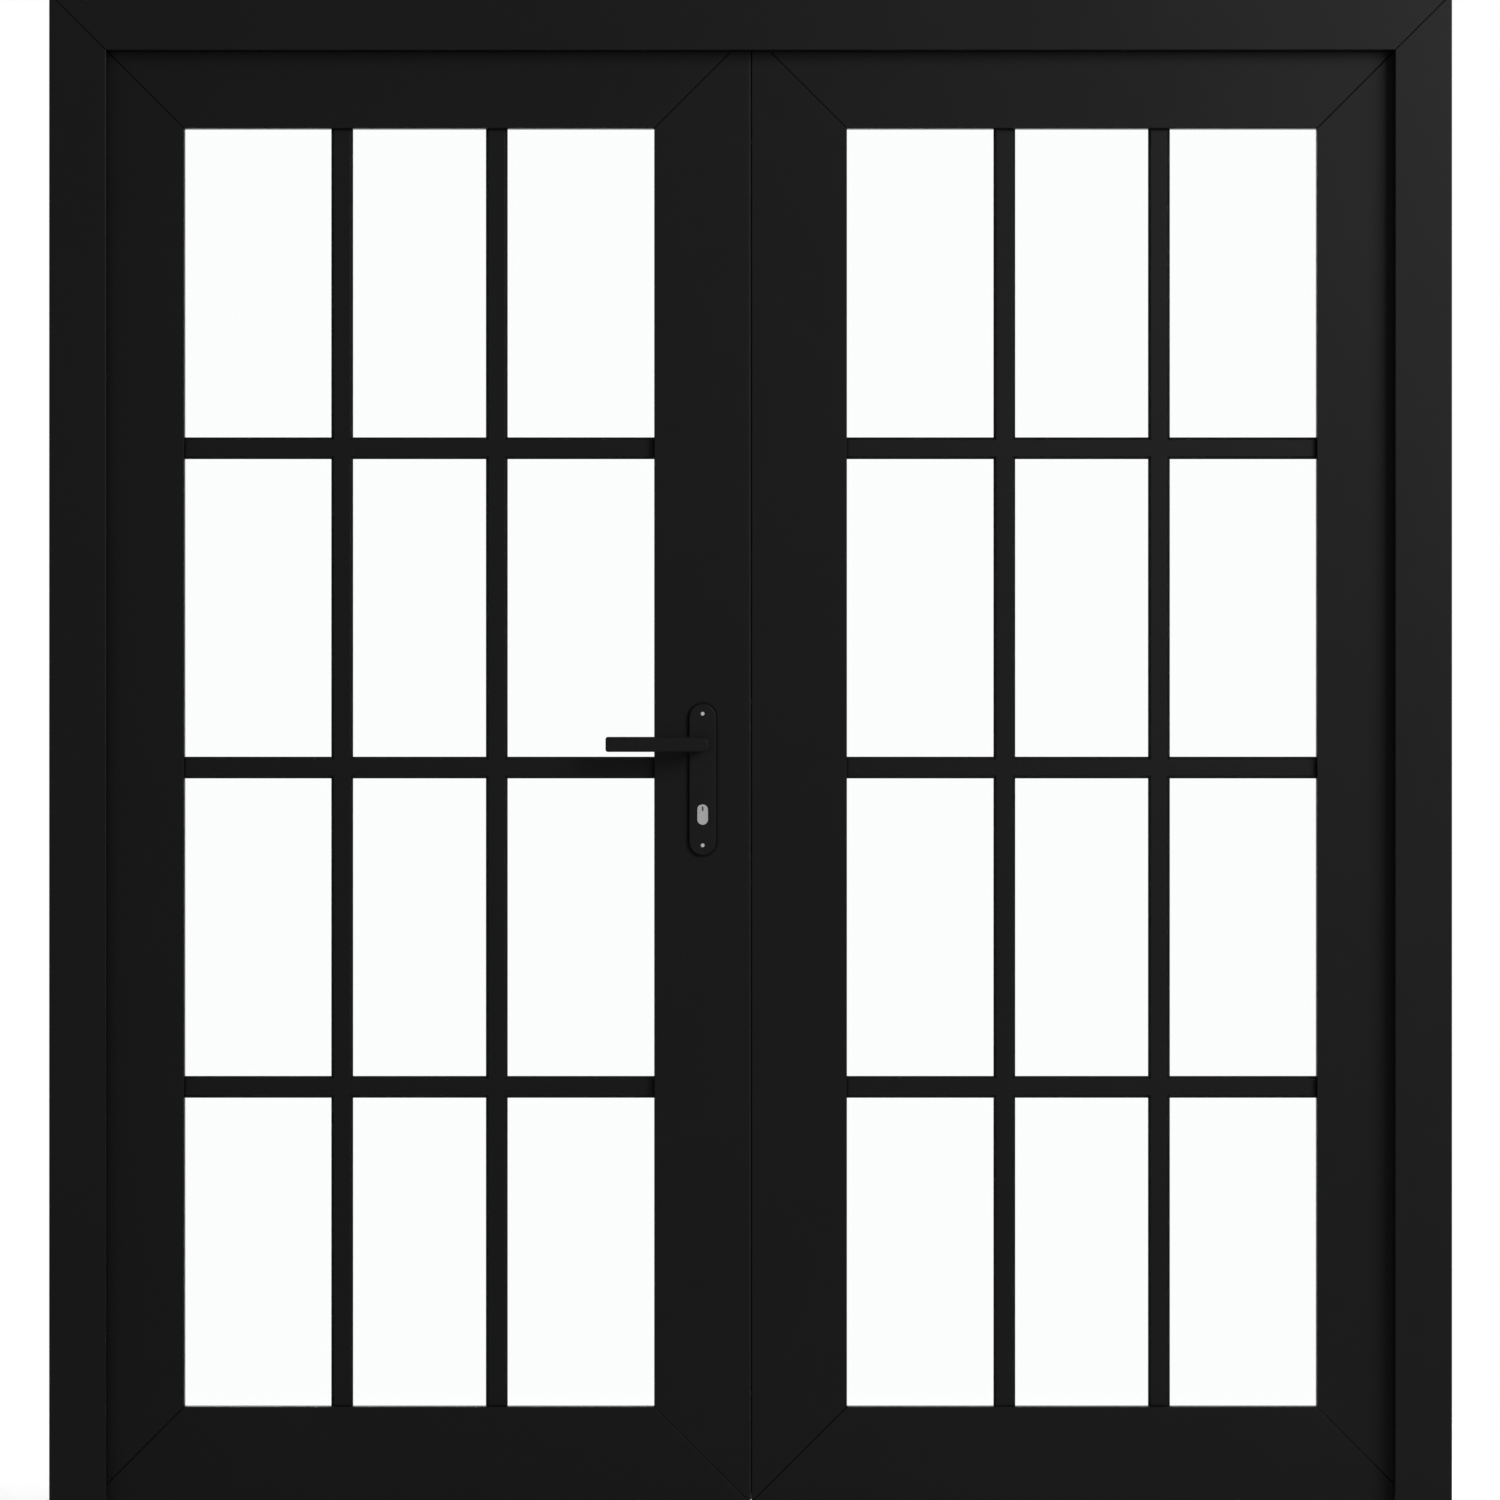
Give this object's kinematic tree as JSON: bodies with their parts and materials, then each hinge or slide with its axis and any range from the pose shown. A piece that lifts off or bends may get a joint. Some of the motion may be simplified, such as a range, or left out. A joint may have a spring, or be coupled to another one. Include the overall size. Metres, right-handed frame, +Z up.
{
  "type": "french doors",
  "caption": "Pair of black glazed interior doors hung in a timber frame with casings, with small panes between recessed bars, and lever handles with a lock on one leaf.",
  "frame": {"origin": "on the floor, in the middle of the doorway, at the middle of the leaves' thickness", "axes": "+X to the right as seen from the front, +Y to the rear, where the leaves open to, +Z up"},
  "size_m": [1.9356, 0.15, 2.0915],
  "materials": {
    "leaf_enamel": "satin black enamel on engineered timber",
    "bar_enamel": "satin black enamel on hardwood",
    "frame_enamel": "satin black enamel on engineered timber",
    "casing_enamel": "satin black enamel on engineered timber",
    "clear_glass": "clear float",
    "seal_rubber": "matte",
    "hinge_black": "matte black powder coat on steel",
    "handle_black": "matte black powder coat on zinc",
    "cylinder_nickel": "satin nickel plate",
    "screw_zinc": "bright zinc plate",
    "lock_steel": "satin"
  },
  "bodies": {
    "frame": {"front_casing_left": "casing_enamel", "front_casing_right": "casing_enamel", "front_casing_top": "casing_enamel", "head_jamb": "frame_enamel", "head_keeper": "lock_steel", "head_stop": "frame_enamel", "left_hinge_frame_plates": "hinge_black", "left_jamb": "frame_enamel", "left_seal": "seal_rubber", "left_stop": "frame_enamel", "rear_casing_left": "casing_enamel", "rear_casing_right": "casing_enamel", "rear_casing_top": "casing_enamel", "right_hinge_frame_plates": "hinge_black", "right_jamb": "frame_enamel", "right_seal": "seal_rubber", "right_stop": "frame_enamel", "top_seal": "seal_rubber"},
    "left_leaf": {"lock_case": "lock_steel", "lock_forend": "lock_steel", "cylinder_body": "cylinder_nickel", "cylinder_screw": "screw_zinc", "front_plate": "handle_black", "rear_plate": "handle_black", "plate_screws": "screw_zinc", "left_bottom_rail": "leaf_enamel", "left_cross_bar_1": "bar_enamel", "left_cross_bar_2": "bar_enamel", "left_cross_bar_3": "bar_enamel", "left_glass": "clear_glass", "left_hinge_leaf_plates": "hinge_black", "left_hinge_stile": "leaf_enamel", "left_meeting_stile": "leaf_enamel", "left_top_rail": "leaf_enamel", "left_upright_bar_1": "bar_enamel", "left_upright_bar_2": "bar_enamel"},
    "right_leaf": {"strike_plate": "lock_steel", "upper_bolt_body": "lock_steel", "lower_bolt_body": "lock_steel", "right_bottom_rail": "leaf_enamel", "right_cross_bar_1": "bar_enamel", "right_cross_bar_2": "bar_enamel", "right_cross_bar_3": "bar_enamel", "right_glass": "clear_glass", "right_hinge_leaf_plates": "hinge_black", "right_hinge_stile": "leaf_enamel", "right_meeting_stile": "leaf_enamel", "right_top_rail": "leaf_enamel", "right_upright_bar_1": "bar_enamel", "right_upright_bar_2": "bar_enamel"},
    "lever": {"front_lever": "handle_black", "rear_lever": "handle_black", "spindle": "lock_steel", "follower": "lock_steel"},
    "latch": {"latch_bolt": "lock_steel"},
    "deadbolt": {"deadbolt": "lock_steel"},
    "cylinder": {"cylinder_plug": "cylinder_nickel"},
    "upper_bolt": {"upper_bolt_rod": "lock_steel"},
    "lower_bolt": {"lower_bolt_rod": "lock_steel"}
  },
  "joints": [
    {"name": "left_leaf_swing", "type": "hinge", "parent": "frame", "child": "left_leaf", "pos_m": [-0.91675, 0.027, 1], "axis": [0, 0, 1], "range_deg": [0, 170]},
    {"name": "right_leaf_swing", "type": "hinge", "parent": "frame", "child": "right_leaf", "pos_m": [0.91675, 0.027, 1], "axis": [0, 0, -1], "range_deg": [0, 170]},
    {"name": "lever_turn", "type": "hinge", "parent": "left_leaf", "child": "lever", "pos_m": [-0.06625, 0, 1.055], "axis": [0, -1, 0], "range_deg": [0, 40], "stiffness_Nm_per_rad": 1.5, "springref_deg": -22.92},
    {"name": "latch_slide", "type": "slide", "parent": "left_leaf", "child": "latch", "axis": [-1, 0, 0], "range_m": [0, 0.011]},
    {"name": "cylinder_turn", "type": "hinge", "parent": "left_leaf", "child": "cylinder", "pos_m": [-0.06625, 0, 0.963], "axis": [0, 1, 0], "range_deg": [0, 360]},
    {"name": "deadbolt_slide", "type": "slide", "parent": "left_leaf", "child": "deadbolt", "axis": [1, 0, 0], "range_m": [0, 0.02]},
    {"name": "upper_bolt_slide", "type": "slide", "parent": "right_leaf", "child": "upper_bolt", "axis": [0, 0, 1], "range_m": [0, 0.014]},
    {"name": "lower_bolt_slide", "type": "slide", "parent": "right_leaf", "child": "lower_bolt", "axis": [0, 0, -1], "range_m": [0, 0.014]}
  ],
  "couplings": [
    {"joint": "latch_slide", "follows": "lever_turn", "m_per_rad": 0.015756},
    {"joint": "cylinder_turn", "follows": "deadbolt_slide", "rad_per_m": 314.16}
  ]
}
